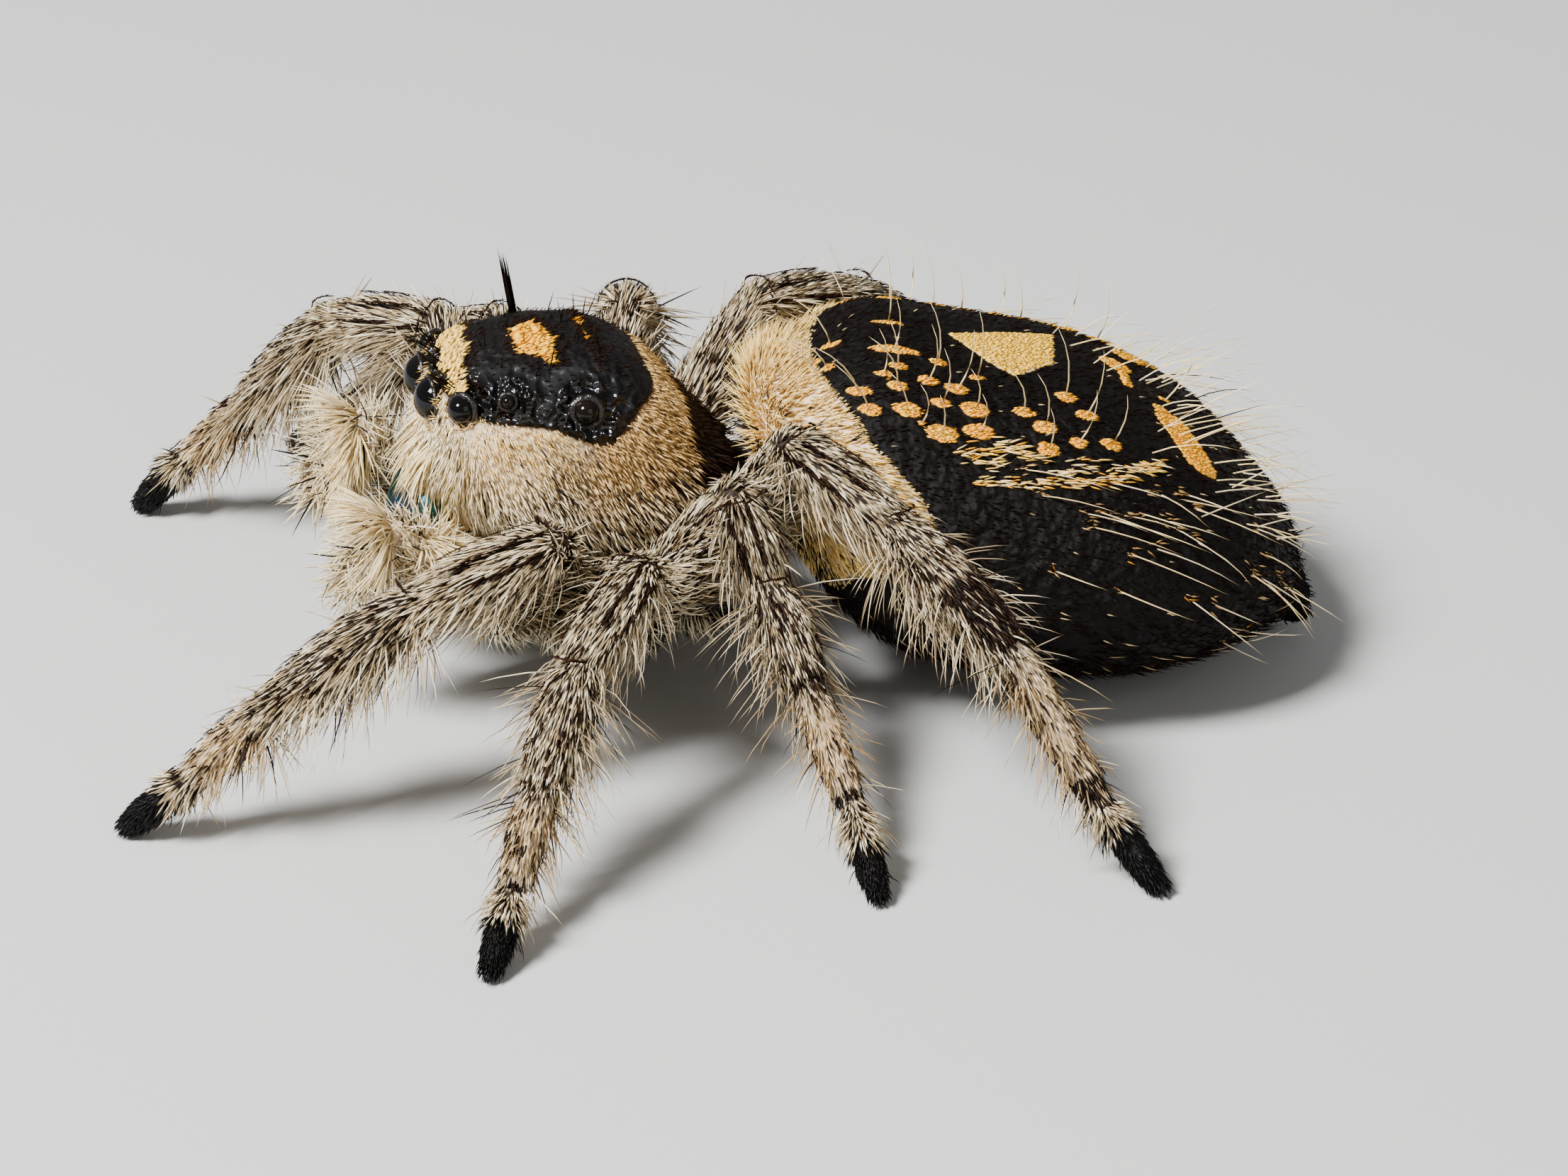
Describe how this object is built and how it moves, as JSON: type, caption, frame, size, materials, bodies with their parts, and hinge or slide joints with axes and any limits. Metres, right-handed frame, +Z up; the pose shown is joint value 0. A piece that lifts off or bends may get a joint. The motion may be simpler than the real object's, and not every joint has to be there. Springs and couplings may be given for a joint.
{
  "type": "regal jumping spider",
  "caption": "Life-size still model of a regal jumping spider standing on all its feet, with a plump spotted abdomen and a shaggy grey-cream coat.",
  "frame": {"origin": "centre of the box round the whole spider, on the floor that its feet stand on", "axes": "+Z up, -Y the way the spider faces, +X its left side"},
  "size_m": [0.0154, 0.0165, 0.0057],
  "materials": {
    "coat": "matte",
    "black_coat": "velvet",
    "cap": "satin",
    "eye": "gloss",
    "chelicera": "gloss",
    "foot": "matte"
  },
  "bodies": {
    "root": {"cephalothorax": "cap", "pedicel": "black_coat", "abdomen": "black_coat", "spinnerets": "black_coat", "chelicera_left": "chelicera", "palp_left_upper": "coat", "palp_left_tarsus": "coat", "eye_anterior_median_left": "eye", "eye_anterior_lateral_left": "eye", "eye_posterior_median_left": "eye", "eye_posterior_lateral_left": "eye", "leg1_left_femur": "coat", "leg1_left_patella": "coat", "leg1_left_tibia": "coat", "leg1_left_metatarsus": "coat", "leg1_left_tarsus": "foot", "leg2_left_femur": "coat", "leg2_left_patella": "coat", "leg2_left_tibia": "coat", "leg2_left_metatarsus": "coat", "leg2_left_tarsus": "foot", "leg3_left_femur": "coat", "leg3_left_patella": "coat", "leg3_left_tibia": "coat", "leg3_left_metatarsus": "coat", "leg3_left_tarsus": "foot", "leg4_left_femur": "coat", "leg4_left_patella": "coat", "leg4_left_tibia": "coat", "leg4_left_metatarsus": "coat", "leg4_left_tarsus": "foot", "chelicera_right": "chelicera", "palp_right_upper": "coat", "palp_right_tarsus": "coat", "eye_anterior_median_right": "eye", "eye_anterior_lateral_right": "eye", "eye_posterior_median_right": "eye", "eye_posterior_lateral_right": "eye", "leg1_right_femur": "coat", "leg1_right_patella": "coat", "leg1_right_tibia": "coat", "leg1_right_metatarsus": "coat", "leg1_right_tarsus": "foot", "leg2_right_femur": "coat", "leg2_right_patella": "coat", "leg2_right_tibia": "coat", "leg2_right_metatarsus": "coat", "leg2_right_tarsus": "foot", "leg3_right_femur": "coat", "leg3_right_patella": "coat", "leg3_right_tibia": "coat", "leg3_right_metatarsus": "coat", "leg3_right_tarsus": "foot", "leg4_right_femur": "coat", "leg4_right_patella": "coat", "leg4_right_tibia": "coat", "leg4_right_metatarsus": "coat", "leg4_right_tarsus": "foot"}
  },
  "joints": []
}
